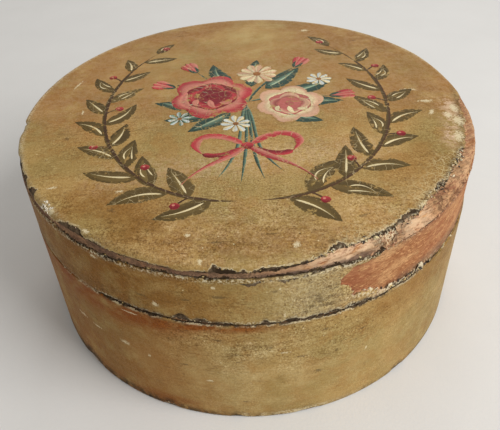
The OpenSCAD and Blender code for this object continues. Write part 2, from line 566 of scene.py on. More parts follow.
# Painted contact shadow: the foot darker towards the left, on top of real grime
foot_soil = from_azimuth((-150, 1.6), (-118, 1.1), (-100, 0.2), (-90, 0), (90, 0), (150, 1.6))
foot_grime = (0.8 + 0.2 * ramp(azimuth, -95, -115)) * ramp(foot_rub + foot_soil, -3.0, 0.2) * (1 - foot_line)
speckled = ramp(height, 16, 30) * from_azimuth(
    (-118, 0), (-105, 0.7), (-95, 1), (-74, 0.9), (-62, 0.4), (-40, 0))
store(
    body_wall, loss=loss, ground=ground, left_over=1.0,
    stain=np.clip(under_seam + rust_line + 0.8 * tide_mark + 0.72 * to_the_left, 0, 1),
    browned=np.clip(0.5 * to_the_left + 0.5 * upper_right, 0, 1),
    pale=np.clip(sun_patch + 0.25 * lower_right, 0, 1),
    grime=np.maximum(np.maximum(0.8 * ramp(rim_rub, -1.2, 0.2), foot_grime), 0.2 * ramp(azimuth, -68, -40)),
    rubbed=np.maximum(seam_line, foot_line),
    kept_even=0.4 - 1.2 * speckled)
body_rubs = [on_wall(*mark) for mark in (
    (-136.5, 22.6, 2.2, 0.5), (-131, 22.2, 2.4, 0.35), (-122, 22.4, 1.5, 0.8), (-115.5, 21.0, 0.45, 0.6),
    (-101, 16.0, 1.0, 0.4), (-84, 27.5, 1.6, 0.4), (-64, 20.0, 0.3, 0.6), (-118, 36.6, 2.6, 0.25),
    (30, 18.0, 4.0, 0.5), (75, 25.0, 1.2, 0.9), (140, 12.0, 3.5, 0.4))]
body_scuffs = [on_wall(*mark) for mark in (
    (-94.3, 24.6, 1.1, 0.4), (-106.5, 21.4, 1.3, 0.35), (-80.5, 25.0, 1.6, 0.5), (-93, 7.5, 1.2, 0.4),
    (-87, 30, 0.8, 0.5), (-76, 17.5, 1.2, 0.9), (-72, 24, 0.9, 0.9), (-66, 29, 1.4, 0.4),
    (-98, 33, 1.8, 0.5), (-75, 33.5, 1.4, 0.6), (55, 15, 2.0, 0.5), (115, 28, 1.5, 0.6))]
around_wall = (0.12, 0.12, 1.0)
body_finish = painted_wood("body_paint", around_wall, around_wall, body_rubs, body_scuffs, wood_dark)
body_wall.data.materials.append(body_finish)
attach(body_wall, "box")
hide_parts("body_hoop")


# Collar
# A second, taller strip glued inside the wall. Its upper part stands above the rim, bare and
# polished by the lid that slides over it, and its top edge is worn round and nicked.
collar_low, collar_high = size_of("collar_hoop")
collar_r, collar_foot, collar_top = collar_high[0], collar_low[2], collar_high[2]
lining_low, lining_high = size_of("collar_lining")
collar_in_r = lining_high[0] + glue_gap
collar_lap_at = -137.8
collar_knocks = [
    (-160, 3, 0.5), (-118, 2, 0.7), (-71, 4, 0.4), (-35, 1.5, 0.9), (12, 3, 0.5), (66, 2, 0.6),
    (101, 5, 0.4), (150, 2, 0.8)]
radius, height = hoop_section(
    collar_in_r, collar_r, collar_foot, collar_top, up=((seam_z - 2, 12), (collar_top - edge_ease, 0.5)),
    down=((collar_top - 4, 0.5), (collar_foot + edge_ease, 12)), foot_gap=0.3, top_gaps=(0.15, 0.35, 0.15))
out_r, out_z = outward(radius, height)
top_wear = np.clip(worn_back(0.1, 0.08, 9, 41, collar_knocks), 0.02, 1.2)
depth = top_wear * ramp(height, collar_top - 0.9, collar_top) * np.where(radius > collar_in_r + 0.1, 1, 0.4)
depth = depth + 0.03 + 0.02 * ragged(height, 6, 42)
collar_ring = turned("collar_ring", radius - depth * out_r, height - depth * out_z)
collar_lap = 0.2 - np.abs(azimuth - collar_lap_at) * per_degree
store(
    collar_ring,
    handled=ramp(height, collar_top - 2.5, collar_top - 0.2) + 0.8 * ramp(collar_lap, -0.1, 0.1),
    in_gap=ramp(height, seam_z + 1.6, seam_z + 0.2))
collar_pale = srgb(196, 152, 104)
collar_dark = srgb(150, 104, 66)
polish_brown = srgb(120, 80, 48)
scrape_pale = srgb(222, 184, 136)
handled_dark = srgb(88, 60, 38)
gap_dark = srgb(70, 50, 34)
finish, place = new_finish("collar_wood")
colour, grain = wood(place, around_wall, collar_pale, collar_dark)
sliding = drawn_out(place, (1.0, 1.0, 0.08))
colour = layered(
    colour,
    (polish_brown, between(blotches(sliding, 1.6, 4, 0.7), 0.48, 0.62), 0.45),
    (scrape_pale, between(blotches(sliding, 0.7, 3, 0.7), 0.44, 0.34), 0.5),
    (handled_dark, field(place, "handled"), between(blotches(place, 3, 4, 0.7), 0.35, 0.6), 0.75),
    (gap_dark, field(place, "in_gap"), 0.7))
complete(finish, colour, grain, relief=0.14, roughness=0.55, gloss=0.3)
collar_ring.data.materials.append(finish)
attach(collar_ring, "box")
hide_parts("collar_hoop")


# Lining paper
# Laid paper pasted on the base board, round the inside of the collar and under the lid board.
# It has cockled, yellowed and foxed, old powder clings in the corner, and its top edge is torn.
def paper(name, node, body, radius, height, ends, **fields):
    """A piece of lining paper in place of a node."""
    piece = turned(name, radius, height, ends)
    store(piece, **fields)
    piece.data.materials.append(paper_finish)
    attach(piece, body)
    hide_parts(node)


def cockles(radius, length, seed):
    """Gentle waves over a flat sheet, about length millimetres from crest to crest, from -1 to 1."""
    x, y = radius * np.cos(turn), radius * np.sin(turn)
    total = 0 * x
    for heading, start in np.random.default_rng(seed).uniform(0, 2 * math.pi, (7, 2)):
        total += np.sin((x * math.cos(heading) + y * math.sin(heading)) * 2 * math.pi / length + start)
    return np.clip(total / 4, -1, 1)


paper_pale = srgb(224, 208, 172)
paper_yellow = srgb(200, 174, 128)
crease_tan = srgb(178, 146, 100)
laid_tan = srgb(166, 138, 98)
damp_brown = srgb(158, 110, 64)
fox_brown = srgb(142, 92, 50)
edge_brown = srgb(138, 104, 66)
powder_pink = srgb(240, 222, 208)
paper_finish, place = new_finish("lining_paper")
laid = blotches(drawn_out(place, (0.1, 1.0, 0.5)), 0.5, 3)
creased = blotches(place, 9, 5, 0.6)
colour = layered(
    paper_pale,
    (paper_yellow, between(blotches(place, 24, 4), 0.35, 0.65)),
    (crease_tan, between(creased, 0.5, 0.66), 0.45),
    (laid_tan, between(laid, 0.5, 0.66), 0.3),
    (damp_brown, between(blotches(place, 3.0, 5, 0.7), 0.58, 0.7), 0.55),
    (fox_brown, spots(place, 5.0, 0.35, 0.22), 0.6),
    (edge_brown, field(place, "darkened"), 0.7),
    (powder_pink, field(place, "powder"), between(blotches(place, 5, 6, 0.7), 0.38, 0.56), 0.85))
surface = number("MULTIPLY_ADD", creased, 1.2, times(laid, 0.5))
complete(paper_finish, colour, surface, relief=0.2, roughness=0.85, gloss=0.2)

paper_r = lining_high[0]
cap_r = 0.5
run_end = (0, 0, 100)  # stands after the last corner, because a section leaves its own last one out
base_top = collar_foot
floor_top = lining_low[2] - glue_gap
radius, height = section(
    (cap_r, base_top, 1), (paper_r, base_top, 20), (paper_r, floor_top, 0.3), (cap_r, floor_top, 1.5),
    run_end)
cockle = ramp(height, base_top, base_top + 0.15) * 0.08 * cockles(radius, 26, 51)
paper("floor_paper", "base_lining", "box", radius + 0 * turn, height + cockle, True,
      darkened=0.8 * ramp(radius, 42, 59) * ramp(cockles(radius, 30, 52), -0.6, 0.6),
      powder=np.clip(ramp(radius, 50, 58.5) + 0.7 * ramp(cockles(radius, 44, 53), 0.0, 0.8), 0, 1))

paper_thick = 0.3
paper_foot, paper_top = lining_low[2], lining_high[2]
tears = [(-120, 5, 2.2), (-58, 3, 1.2), (33, 7, 3.0), (88, 2, 1.5), (160, 4, 1.8)]
paper_lap_at = 64
torn_top = paper_top - 0.2 - 0.5 * np.clip(ragged(0, 9, 54)[0] - 0.1, 0, 2)
torn_top = torn_top - worn_back(0.0, 0.0, 9, 55, tears)
radius, height = section(
    (paper_r - paper_thick, paper_foot, 1), (paper_r, paper_foot, 0.3), (paper_r, paper_top, 2.5),
    (paper_r - paper_thick, paper_top, 0.3), (paper_r - paper_thick, paper_foot, 2.5))
share = (height - paper_foot) / (paper_top - paper_foot)
inner_face = ramp(radius, paper_r - 0.1, paper_r - 0.2)
overlap = ramp(np.abs(azimuth - paper_lap_at), 4.2, 4.0)
lap_edges = ramp(np.abs(np.abs(azimuth - paper_lap_at) - 4.1), 0.35, 0.1)
paper("wall_paper", "collar_lining", "box",
      radius - inner_face * (0.05 + 0.05 * ragged(height, 12, 56) + 0.12 * overlap),
      paper_foot + share * (torn_top - paper_foot), False,
      darkened=np.clip(ramp(height, 41, 47) + lap_edges, 0, 1),
      powder=np.clip(ramp(height, 16, 4.5) + 0.5 * ramp(ragged(height, 18, 57), 0.2, 0.9), 0, 1))

lid_paper_low, lid_paper_high = size_of("lid_lining")
step_r, ceiling_top, ceiling_z = lid_paper_high[0], lid_paper_high[2], lid_paper_low[2]
radius, height = section(
    (cap_r, ceiling_z, 1), (step_r, ceiling_z, 1.5), (step_r, ceiling_top, 0.3), (cap_r, ceiling_top, 20),
    run_end)
cockle = ramp(height, ceiling_top - 0.1, ceiling_z + 0.05) * (0.1 + 0.08 * cockles(radius, 26, 58))
paper("lid_paper", "lid_lining", "lid", radius + 0 * turn, height + cockle, True,
      darkened=ramp(radius, 50, 61) * ramp(cockles(radius, 30, 59), -0.7, 0.5),
      powder=0.35 * ramp(cockles(radius, 40, 60), 0.1, 0.8))


# Lid side
# A bent strip like the box wall, glued where its ends lap. To the right of the front the outer
# end of the lap has come away with its paint, and its lower edge is chipped all along the seam.
lid_joint_z = size_of("lid_hoop")[1][2]
lid_in_r = step_r + glue_gap
seam_knocks = [
    (-122.5, 1.6, 0.9), (-118.5, 2.0, 1.0), (-115.5, 1.5, 0.8), (-112, 1.6, 0.9), (-105.6, 1.5, 2.7),
    (-101.2, 1.6, 1.8), (-97, 2.5, 1.1), (-88, 0.8, 1.8), (-86, 1.0, 0.9), (-82.5, 2.2, 1.5),
    (-77, 3.0, 1.2), (-73.5, 2.0, 1.4), (-69, 2.5, 1.5), (-66, 1.6, 1.3), (-58, 2.0, 1.6),
    (-54.5, 1.8, 1.8), (-49, 2.6, 2.0), (30, 4.0, 1.6), (84, 2.0, 1.2), (120, 5.0, 1.3), (165, 3.0, 1.8)]
joint_knocks = [
    (-129, 3, 0.6), (-121, 2.5, 0.9), (-99, 2, 0.5), (-77, 2, 0.4), (-70, 3, 0.7), (-64, 3, 1.0),
    (60, 4, 1.2)]
radius, height = hoop_section(
    lid_in_r, box_r, seam_z, lid_joint_z, up=((lid_joint_z - edge_ease, 0.4),),
    down=((seam_z + edge_ease, 5),))
out_r, out_z = outward(radius, height)
inside = radius < box_r - edge_ease - 0.01
painted = ramp(radius, box_r - 1.2, box_r - edge_ease)

# The torn patch in millimetres inside its edge, and the rubbed edges above and below it
torn_left = -69.0 - 0.56 * (height - 43.2) + 0.9 * ragged(height, 2.4, 21)
torn_right = 14 + 2 * ragged(height, 5, 22)
torn_foot = from_azimuth(
    (-180, 43), (-69, 43.4), (-66, 42.6), (-63, 41.4), (-60, 40.2), (-50, 39.7), (-45, 38.9), (-20, 38.8),
    (12, 41), (180, 43))
torn_head = from_azimuth(
    (-180, 48), (-73, 48.8), (-70, 51.8), (-67, 52.7), (-64, 53.4), (-61.5, 54.6), (-58, 55), (10, 55),
    (180, 52))
torn = np.minimum.reduce([
    (azimuth - torn_left) * per_degree, (torn_right - azimuth) * per_degree,
    height - torn_foot - 0.4 * ragged(height, 3, 23), torn_head - height + 0.45 * ragged(height, 2.4, 24)])
seam_level = from_azimuth(
    (-180, 0.1), (-160, -0.5), (-129, -0.5), (-124, 0.2), (-121, 0.9), (-112, 0.9), (-108, 0.5),
    (-100, 0.4), (-95, 0.2), (-80, 0.1), (-60, 0.05), (-57, 0.35), (-47, 0.35), (-44, -0.2), (-10, -0.35),
    (20, 0.2))
seam_rub = worn_back(seam_level, 0.42, 3.5, 25, seam_knocks) - (height - seam_z)
joint_rub = worn_back(-0.1, 0.3, 6, 26, joint_knocks) - (lid_joint_z - height)
crack_z = from_azimuth(
    (-94, 53.2), (-92.5, 52.9), (-91, 52.4), (-89.8, 52.6), (-89, 53.3), (-86, 53.4), (-84, 53.0),
    (-81, 53.3), (-77, 54.2))
crack_half = 0.05 + 0.2 * ramp(azimuth, -86.5, -84) + 0.25 * ragged(height, 2, 30)
paint_crack = np.where(np.abs(azimuth + 85.5) < 7.5, crack_half - np.abs(height - crack_z), -3)
torn_ground = torn + 0.15 * ragged(height, 2, 27) - 0.1
ground = np.clip(np.maximum.reduce([seam_rub, joint_rub, paint_crack, torn_ground]), -3, 3)
ground = np.where(inside, 3, ground)
loss = np.where(inside, 3, np.clip(np.maximum(torn, seam_rub - 2.4), -3, 3))
torn_depth = from_azimuth((-48, 0.42), (-34, 0.1), (-4, 0.1), (14, 0.3)) * (1 + 0.25 * ragged(height, 5, 28))
wave = 0.1 + 0.1 * ragged(height, 40, 29, 2)
depth = painted * (wave + 0.18 * ramp(ground, -0.3, 0.3) + torn_depth * ramp(torn, -0.35, 0.35))
lid_side = turned("lid_side", radius - depth * out_r, height - depth * out_z)

# Crumbs of paint and grime along the tear, joint and seam; painted shade on the left, a painted highlight in
# front
along_tear = ramp(azimuth, -74, -66) * ramp(azimuth, 6, -10)
crumbs_at_tear = peak(height, torn_foot - 0.7, 0.9) * along_tear * from_azimuth(
    (-68, 1), (-62, 0.45), (-47, 0.45), (-40, 0))
crumbs_at_joint = peak(height, 53.6, 0.6) * from_azimuth(
    (-180, 0.3), (-142, 0.8), (-118, 1), (-108, 0.5), (-98, 0.9), (-84, 0.9), (-72, 0.8), (-60, 0.8),
    (-40, 0.3))
crumbs_at_seam = peak(height, seam_z + 0.9, 0.5) * from_azimuth(
    (-180, 0), (-130, 0.3), (-124, 0.7), (-106, 0.5), (-98, 0.9), (-60, 1), (-47, 0.7), (-40, 0),
    (20, 0.2))
mixed_in = from_azimuth((-76, 0), (-70, 0.8), (-58, 0.8), (-52, 0))
crumbs_at_seam = crumbs_at_seam * np.maximum(ramp(seam_rub, 0.5, 0.05), mixed_in)
open_joint = peak(height, lid_joint_z, 0.35) * ramp(azimuth, -66, -60) * ramp(azimuth, 12, 4)
open_joint = open_joint * ramp(ragged(0, 4, 18)[0], -0.4, 0.4)
torn_low = ramp(height, 43.4, 40.4) * ramp(azimuth, -62, -54)
lower_left = ramp(height, 46, 40) * (0.25 * ramp(azimuth, -108, -120) + 0.2 * ramp(azimuth, -136, -146))
store(
    lid_side, loss=loss, ground=ground, left_over=0.35, pitted=open_joint,
    crumble=np.clip(crumbs_at_tear + crumbs_at_joint + crumbs_at_seam, 0, 1),
    # Stains and painted shade: the left of the hoop darker, as if less lit
    browned=from_azimuth(
        (-180, 0.8), (-140, 1), (-120, 1), (-106, 0.8), (-98, 0.5), (-90, 0.2), (-80, 0), (-10, 0.1),
        (90, 0.4), (180, 0.7)),
    # Painted highlight: a paler band on the lit front of the hoop, in the pale and rubbed fields
    pale=0.65 * peak(azimuth, -79, 9.5),
    crackle=0.9 * peak(azimuth, -77, 5),
    rubbed=0.24 * peak(azimuth, -79, 8),
    bloom=0.9 * peak(azimuth, -62, 3) * ramp(height, 42.2, 41.2),
    kept_even=from_azimuth(
        (-180, 0.4), (-130, 0.1), (-110, -0.1), (-95, -0.1), (-86, -0.4), (-80, -1.3), (-70, -1.3),
        (-60, 0.2), (180, 0.4)),
    wood_grime=np.clip(0.9 * open_joint + 0.55 * torn_low + 0.25 * ramp(height, 50, 54), 0, 1),
    tinted_wood=0.65 * ramp(azimuth, -60, -70) + 0.35 * ramp(azimuth, -53, -45),
    grime=np.maximum.reduce([
        0.9 * ramp(seam_rub, -1.4, 0.2), 0.7 * ramp(joint_rub, -1.2, 0.2),
        0.44 * peak(azimuth, -76, 6) + lower_left]))
lid_rubs = [on_wall(*mark) for mark in (
    (-111, 43, 0.9, 1.0), (-125, 52.2, 1.4, 0.6), (-98, 51.5, 0.5, 0.5), (-85, 50.6, 0.3, 0.4),
    (-84, 41.6, 0.3, 1.0), (100, 47, 2.0, 0.7))]
lid_scuffs = [on_wall(*mark) for mark in (
    (-76.5, 44.4, 2.4, 0.7), (-75, 42.8, 1.8, 0.8), (-78, 46.4, 2.2, 0.6), (-77, 45.4, 1.4, 0.6),
    (-74.5, 45.2, 1.6, 0.6), (-78.6, 43.2, 1.2, 0.7), (-73.8, 47.6, 1.8, 0.5), (-75.4, 48.6, 1.6, 0.5),
    (-79.5, 41.6, 1.4, 0.7), (-91, 52.6, 1.6, 0.35), (-97, 48.5, 2.2, 0.5), (-104, 46.5, 2.0, 0.4),
    (-86, 50, 1.2, 0.5), (-114, 45, 1.6, 0.5), (80, 45, 2.0, 0.5))]
red_wood = srgb(150, 88, 62)
torn_grain = (0.35, 0.35, 1.0)
side_finish = painted_wood("lid_side_paint", around_wall, torn_grain, lid_rubs, lid_scuffs, red_wood)
lid_side.data.materials.append(side_finish)
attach(lid_side, "lid")
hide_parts("lid_hoop")


# Lid board
# A turned board that lies on the lid's hoop, a step under it dropping inside. Its paint laps
# over the rounded edge. Most of the edge is rubbed bare, and the right front is broken away.
lid_low, lid_high = size_of("lid_board")
lid_top_z = lid_high[2]
lid_crown = 0.6
edge_round = 1.6
paint_sink = 0.15
lid_edge_z = lid_top_z - lid_crown
crown_half = box_r - edge_round
crown_r = (crown_half**2 + lid_crown**2) / (2 * lid_crown)


def lid_surface(x, y):
    """Height of the lid's painted face."""
    return lid_top_z - crown_r + np.sqrt(crown_r**2 - x * x - y * y) - paint_sink


round_foot_z = lid_edge_z - edge_round
corner = [(crown_half + edge_round * math.cos(a), round_foot_z + edge_round * math.sin(a), 0.25)
          for a in np.linspace(0, math.pi / 2, 11)]
crown = [(r, lid_top_z - crown_r + math.sqrt(crown_r**2 - r * r), gap)
         for r, gap in ((56, 0.4), (44, 1.5), (24, 4), (10, 5), (cap_r, 5))]
radius, height = section(
    (cap_r, lid_low[2], 1), (step_r, lid_low[2], 12), (step_r, lid_joint_z, 0.8),
    (box_r - edge_ease, lid_joint_z, 0.9), (box_r, lid_joint_z + edge_ease, 0.2), *corner, *crown, run_end)
out_r, out_z = outward(radius, height)
out_r[0], out_z[0], out_r[-1], out_z[-1] = 0, -1, 0, 1
below_joint = height < lid_joint_z + 0.1
on_face = ramp(height, lid_joint_z + 0.2, lid_joint_z + 0.5)
on_top = ramp(out_z, 0.2, 0.8)
up_round = np.arcsin(np.clip((height - round_foot_z) / edge_round, 0, 1))
from_foot = np.minimum(height - round_foot_z, 0) + edge_round * up_round
from_foot = np.where(radius < crown_half, edge_round * math.pi / 2 + crown_half - radius, from_foot)
from_foot = np.where(below_joint, -3, from_foot)

# How far up and in from the foot of the rounded edge the paint ends, and the dark rim beyond it
paint_end = from_azimuth(
    (-180, -1.0), (-165, -0.4), (-161, 0.4), (-152, 0.5), (-150, -0.4), (-147, -0.5), (-144, -0.8),
    (-140, -0.4), (-136, -0.3), (-133.5, 0.0), (-131, 0.3), (-128.5, 0.4), (-127, 0.3), (-125.5, 0.1),
    (-121, -0.3), (-115, -0.4), (-110, -0.5), (-105, -0.8), (-97, -0.8), (-90, -0.9), (-85, -0.4),
    (-80, 0.5), (-78, 1.3), (-74, 2.2), (-70, 2.5), (-64, 2.5), (-58, 2.6), (-52.5, 2.5), (-49, 3.6),
    (-45, 4.2), (-40, 4.1), (-33, 4.3), (-25, 4.5), (-16, 4.7), (-8, 4.4), (-1, 3.7), (7, 1.8), (14, 0.2),
    (22, -0.4), (60, -0.7), (110, 0.0), (150, -0.5), (180, -1.0))
black_rim = from_azimuth(
    (-165, 0.2), (-161, 1.2), (-157, 0.9), (-153, 1.4), (-150, 0.5), (-148.8, 2.4), (-147, 3.0),
    (-145.8, 0.4), (-136, 0.15), (-134, 0.9), (-132.5, 1.7), (-128.4, 1.8), (-127, 0.9), (-126, 0.3),
    (-124, 0.8), (-122.5, 0.8), (-121, 0.25), (-100, 0.2), (-98.6, 0.5), (-97.8, 1.9), (-96, 1.3),
    (-94.4, 0.35), (-93, 1.0), (-92, 1.1), (-91, 0.45), (-87, 1.0), (-80, 1.1), (-77, 0.4), (-75.5, 0.1),
    (-74, 1.5), (-72, 1.4), (-70.8, 0.0), (-67.5, 0.0), (-65, 0.4), (-63.5, 0.0), (-61, 0.5),
    (-59.5, 0.2), (-57, 1.4), (-52.5, 1.7), (-51, 0.2), (-44, -0.1), (-42.5, 0.9), (-39, 0.7),
    (-37, -0.1), (-30, 0.4), (-25, 0.0), (-22, -0.4), (4, -0.4), (16, 0.1), (180, 0.2))
right_front = from_azimuth((-84, 0), (-76, 0.4), (-70, 0.8), (-62, 1), (6, 1), (16, 0))
broken = from_azimuth((-84, 0), (-76, 0.4), (-62, 1), (-40, 1), (-28, 0.4), (-14, 0.2), (6, 0.15), (16, 0))
gap_level = from_azimuth(
    (-180, 0.3), (-142, 0.1), (-132, 0.2), (-128, 0.4), (-116, 0.4), (-110, 0.35), (-98, 0.35),
    (-92, 0.2), (-84, 0.3), (-77, 0.45), (-72, 0.45), (-66, 0.4), (-62, -0.2), (14, -0.2), (24, 0.3))
edge_knocks = [
    (-176, 3.0, 1.4), (-162, 2.5, 1.2), (45, 6.0, 1.0), (78, 3.0, 0.8), (118, 3.0, 1.2), (161, 2.5, 1.4)]
edge_dents = [(-178.5, 1.3, 0.75), (-175.5, 2.4, 0.4), (-163, 2.0, 0.25), (6, 16, 0.6)]
gap_top = lid_joint_z + gap_level + 0.2 * ragged(0, 4, 36)
loss = paint_end + 0.2 * ragged(radius, 4, 31) + 0.55 * right_front * ragged(radius, 6, 32) - from_foot
loss = np.clip(np.minimum(loss, height - gap_top), -9, 3)
loss = np.where(below_joint, 3, loss)
chips = worn_back(-2.5, 0.3, 6, 33, edge_knocks) - from_foot
jagged = 0.2 - 0.12 * right_front + 0.5 * peak(azimuth, -94.5, 5)
rim = black_rim + (0.15 + 0.35 * right_front) * ragged(radius, 4, 35) + jagged * ragged(radius, 1.3, 37, 2)
ground = np.clip(np.maximum.reduce([loss + rim, chips, gap_top + 0.1 - height]), -3, 3)
splinter = 1 + 0.9 * ragged(1.6 * (radius + height), 3.0, 34)
lumps = 0.22 * ragged(1.3 * (radius + height), 1.2, 38, 2)
dents = worn_back(0.0, 0.0, 6, 39, edge_dents)
depth = paint_sink + 0.16 * ramp(ground, -0.3, 0.3) + 0.14 * ramp(loss, -0.3, 0.3)
depth = depth + broken * ramp(loss, -0.3, 0.6) * np.maximum(0.5 * splinter + lumps, 0)
depth = (depth + dents * ramp(from_foot, 3.2, 1.6)) * on_face
lid_panel = turned("lid_panel", radius - depth * out_r, height - depth * out_z, ends=True)
far_x, far_y = radius * np.cos(turn), radius * np.sin(turn)


def clouds(*patches):
    """Soft round patches on the lid's face, at (amount, x, y, half width, half depth)."""
    return sum(
        amount * peak(far_x, x, half_x) * peak(far_y, y, half_y) for amount, x, y, half_x, half_y in patches)


# Stains, smoke, bloom, crumbs and rubs on face and edge, with a painted sheen, rim highlight and joint shade
worn_band = peak(far_y - 0.12 * far_x, -27, 6) * ramp(46 - np.abs(far_x + 2), 0, 16)
worn_right = peak(radius, 58.4, 2.2) * ramp(azimuth, -27, -20) * ramp(azimuth, 4, -4)
pale_front = ramp(far_y, -30, -50) * ramp(far_x, -32, -12)
browner = 0.35 * ramp(radius, 44, 60) * ramp(far_y, 0, 25) + clouds(
    (1, -36, -40, 13, 9), (1, -24, -52, 12, 8), (0.8, -8, -58, 10, 4), (0.7, 12, -56, 16, 5),
    (0.5, 46, 2, 12, 14), (0.6, 40, -34, 10, 10), (0.2, 44, 28, 16, 22), (0.1, 50, -28, 8, 9),
    (0.35, 38, 44, 14, 12), (0.3, 58, 2, 6, 12), (0.2, -47, -5, 6, 6), (0.25, -41, -20, 8, 5),
    (0.1, -54, 10, 5, 8))
smoky = clouds(
    (0.12, -28, -47, 14, 10), (0.1, 0, -57, 16, 5), (0.2, 50, -28, 8, 9), (0.16, 40, 36, 18, 20),
    (0.2, -25, 56, 12, 6), (0.14, 52, 4, 8, 12))
warm_back = ramp(far_y, -18, 8) * (1 - clouds((1, 4, 50, 12, 14))) * (1 - clouds((0.6, -24, 30, 16, 14)))
warm_stain = 0.4 * warm_back * (1 - clouds((0.6, 46, 30, 20, 24))) + clouds((0.16, -46, -8, 12, 18))
crazed_front = right_front * ramp(azimuth, -14, -24) * ramp(loss, -9, -1)
edge_grime = (0.4 + 0.3 * right_front) * ramp(np.maximum(loss, chips), -2.6, 0.2)
crumbly = peak(azimuth, -61, 3.6) * ramp(loss, -0.2, 0.3) * ramp(height, lid_joint_z + 0.5, lid_joint_z + 1.2)
crumbly_rim = peak(loss, -0.4, 0.5) * from_azimuth(
    (-84, 0), (-76, 0.3), (-70, 0.5), (-66, 0.3), (-62, 0.5), (-57, 0.2), (-50, 0.8), (-28, 0.8),
    (-20, 0))
white_crumbs = peak(azimuth, -140.3, 1.6) * ramp(from_foot, -0.2, 0.3) * ramp(from_foot, 3.0, 1.8)
# A pale rub along the far rim: wear and a painted edge highlight
back_rim = ramp(from_foot, 3.6, 2.0) * from_azimuth(
    (-180, 0.9), (-166, 0.8), (-155, 0.3), (-146, 0.2), (-137, 0.5), (-134, 0.2), (-110, 0.1), (0, 0),
    (12, 0.6), (20, 0.8), (60, 0.7), (180, 0.9))
# Grime and painted shade on the bare band just above the joint, darker towards it
dusky_foot = ramp(height, lid_joint_z + 1.3, lid_joint_z + 0.5) * from_azimuth(
    (-92, 0), (-84, 1), (-67, 1), (-62, 0))
store(
    lid_panel, loss=loss, ground=ground,
    browned=np.clip(0.75 * browner, 0, 1) * on_top,
    # Painted sheen on the back of the face
    pale=clouds((0.7, 4, 50, 9, 12), (0.3, -26, 31, 13, 11)) * on_top,
    kept_even=(0.9 * ramp(far_y, -12, 20) - 0.5 * ramp(far_y, -30, -46)) * on_top,
    grime=(smoky + edge_grime) * on_top,
    stain=warm_stain * on_top,
    bloom=np.clip(0.4 * worn_band + 1.3 * worn_right + 0.2 * warm_back + 0.16 * pale_front, 0, 1) * on_top,
    rubbed=0.75 * back_rim * on_top,
    crackle=np.clip(1.2 * crazed_front + 0.5 * worn_band, 0, 1) * on_top,
    crumble=np.clip(0.9 * crumbly + crumbly_rim * on_top + white_crumbs, 0, 1),
    fringe=from_azimuth(
        (-180, 0.2), (-142, 0.8), (-137, 1), (-133, 0.6), (-122, 0.7), (-118, 0.3), (-106, 0.3),
        (-101, 1), (-84, 1), (-80, 0.5), (-72, 1), (-58, 1), (-50, 0.7), (-30, 0.6), (-20, 0),
        (180, 0.2)),
    tinted_wood=from_azimuth(
        (-100, 0.1), (-88, 0.3), (-82, 0.45), (-76, 0.9), (-67, 1), (-64, 0.6), (-61, 0.3), (-58, 0.4),
        (-55, 0.9), (-50, 0.9), (-47, 0.2), (-40, 0.15), (-33, 0.35), (-15, 0.3), (10, 0.1)),
    streaked=from_azimuth(
        (-84, 0), (-76, 0.7), (-66, 0.8), (-62, 1), (-56, 0.8), (-48, 1), (0, 0.8), (12, 0)),
    wood_grime=0.9 * dusky_foot + from_azimuth(
        (-180, 0.8), (-135, 0.75), (-130, 0.6), (-122, 0.8), (-112, 0.7), (-96, 0.8), (-89, 0.45),
        (-82, 0.2), (-76, 0), (-66, 0), (-61, 0.2), (-57, 0.2), (-54, 0), (-49, 0), (-45, 0.2),
        (-34, 0.1), (-20, 0.05), (20, 0.5), (180, 0.8)),
    left_over=from_azimuth(
        (-180, 0.6), (-85, 0.5), (-74, 0.1), (-66, 0.3), (-60, 0.6), (-54, 0.3), (-40, 0.6), (-24, 0.2),
        (180, 0.6)),
    pitted=from_azimuth(
        (-67, 0), (-64, 0.5), (-58, 0.6), (-55, 0), (-50, 0.1), (-45, 0.5), (-36, 0.4), (-20, 0.2),
        (15, 0.2), (25, 0)))


lid_mark_depth = 4.0


def on_lid(x, y, half_length, half_width, angle):
    """A mark on the lid's face, turned by an angle."""
    return (x, y, lid_edge_z), (half_length, half_width, lid_mark_depth), angle


lid_top_rubs = [on_lid(*mark) for mark in (
    (-52.5, 18.6, 0.4, 3.2, -20), (59.4, -5.0, 1.4, 2.6, 0), (58.8, -11.6, 1.6, 3.0, 0),
    (56.8, -8.6, 1.2, 2.0, 0), (56.7, -19.4, 1.4, 3.2, -15), (48.9, 6.4, 2.6, 0.8, 0),
    (52.4, -0.6, 2.4, 0.8, 0), (52.7, -6.6, 0.7, 1.6, -25), (-47.8, -43.0, 1.4, 0.8, -45),
    (-49.3, -34.1, 1.6, 0.5, 10), (-32, -37.2, 1.0, 0.5, 20), (-14.5, -54.3, 0.8, 0.7, 0),
    (-11.4, -62.6, 0.7, 0.9, 0), (9.9, -58.8, 1.1, 0.9, 30), (-38, -51, 1.2, 0.6, -40),
    (3, -24, 1.8, 0.5, 5), (-48, 2, 0.4, 1.6, 5), (22, 52, 1.6, 0.8, 0))]
lid_top_scuffs = [on_lid(*mark) for mark in (
    (17.8, -58.2, 1.8, 0.7, 15), (20.5, -57.6, 1.2, 0.8, 20), (-20, -47, 2.4, 0.6, 0),
    (-8, -57, 1.8, 0.4, 0), (4, -55, 2.4, 0.3, 0), (-33, -44, 1.2, 0.8, 0), (26, -50, 2.0, 0.5, 20),
    (-50, -12, 1.0, 1.0, 0), (-22, 52, 2.0, 0.4, 0), (38, 42, 1.6, 0.4, 0))]
bare_edge = srgb(216, 182, 146)
along_lid = (0.12, 1.0, 1.0)
board_grain = (0.18, 1.0, 1.0)
face_finish = painted_wood(
    "lid_face_paint", along_lid, board_grain, lid_top_rubs, lid_top_scuffs, bare_edge, grain_turn=34)
lid_panel.data.materials.append(face_finish)
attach(lid_panel, "lid")
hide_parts("lid_board")


